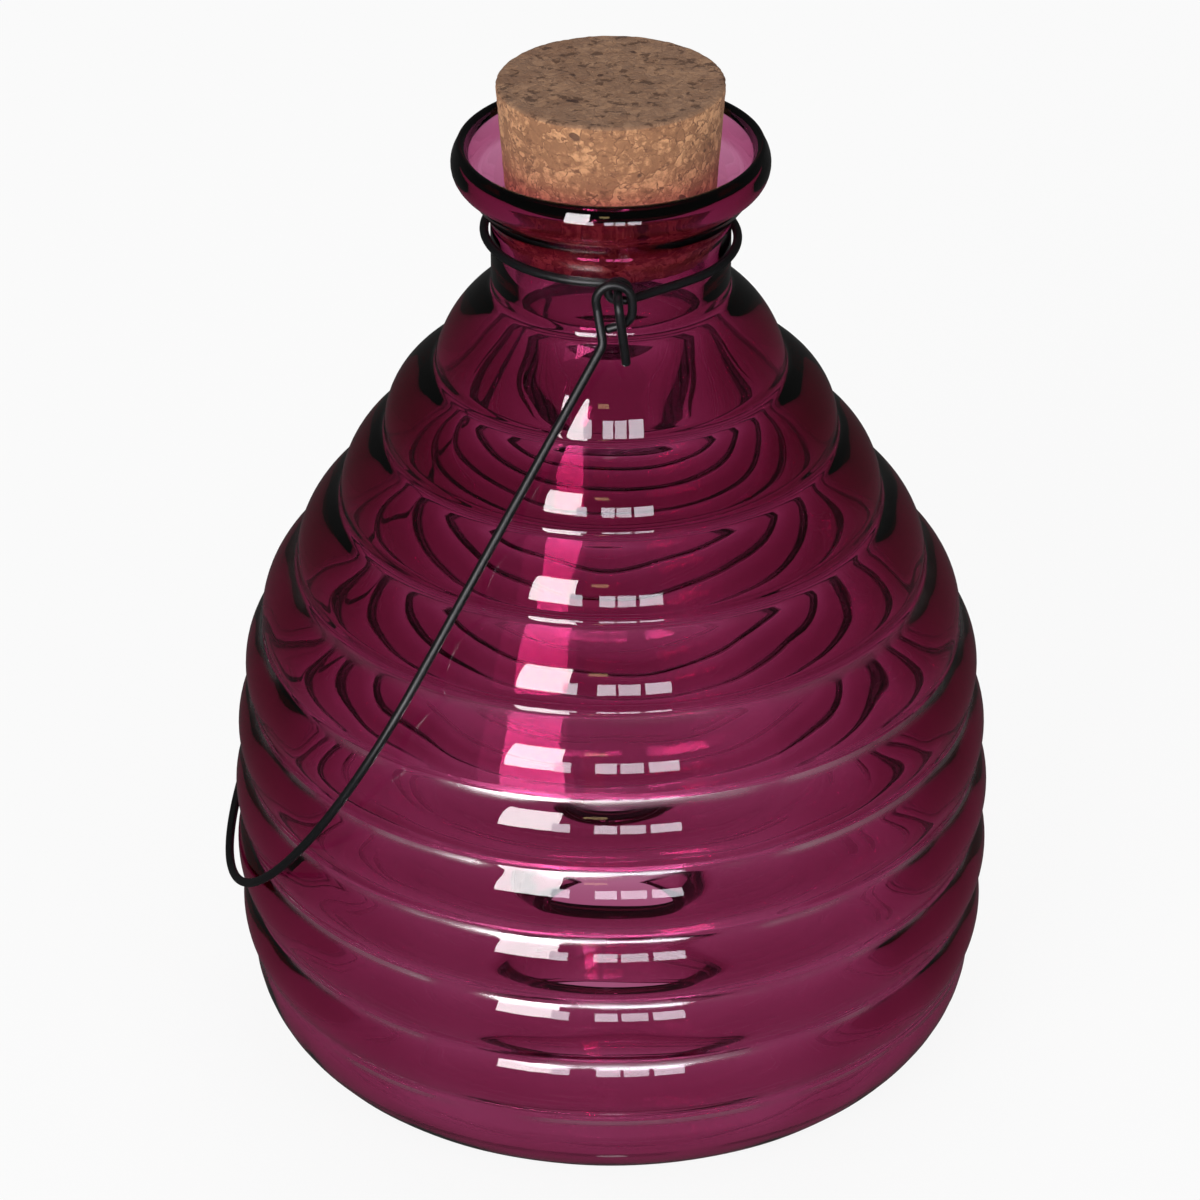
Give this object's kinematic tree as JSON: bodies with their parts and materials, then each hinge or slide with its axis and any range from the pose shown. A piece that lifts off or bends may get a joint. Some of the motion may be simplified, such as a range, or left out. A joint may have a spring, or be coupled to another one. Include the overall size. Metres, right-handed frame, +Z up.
{
  "type": "glass fly trap",
  "caption": "Ribbed, skep-shaped hanging fly trap of plum glass with an inlet turned up through its base, a tapered cork, a neck wire and a swinging wire bail.",
  "frame": {"origin": "on the axis of the glass, in the plane of the foot that it stands on", "axes": "+Z up along the axis of the glass, -X to the side that the bail leans on, Y along the axis of the bail's eyes"},
  "size_m": [0.1424, 0.14, 0.1904],
  "materials": {
    "plum_glass": "gloss",
    "cork": "matte",
    "black_wire": "satin"
  },
  "bodies": {
    "glass": {"glass_bottle": "plum_glass"},
    "cork": {"cork_stopper": "cork"},
    "neck_ring": {"neck_wire_hooked": "black_wire", "neck_wire_curled": "black_wire"},
    "bail": {"bail_handle": "black_wire"}
  },
  "joints": [
    {"name": "cork_pull", "type": "slide", "parent": "glass", "child": "cork", "axis": [0, 0, 1], "range_m": [0, 0.045]},
    {"name": "ring_swivel", "type": "hinge", "parent": "glass", "child": "neck_ring", "pos_m": [0, 0, 0.16255], "axis": [0, 0, 1], "continuous": true},
    {"name": "bail_swing", "type": "hinge", "parent": "neck_ring", "child": "bail", "pos_m": [0.0012, 0, 0.16255], "axis": [0, 1, 0], "range_deg": [0, 300]}
  ]
}
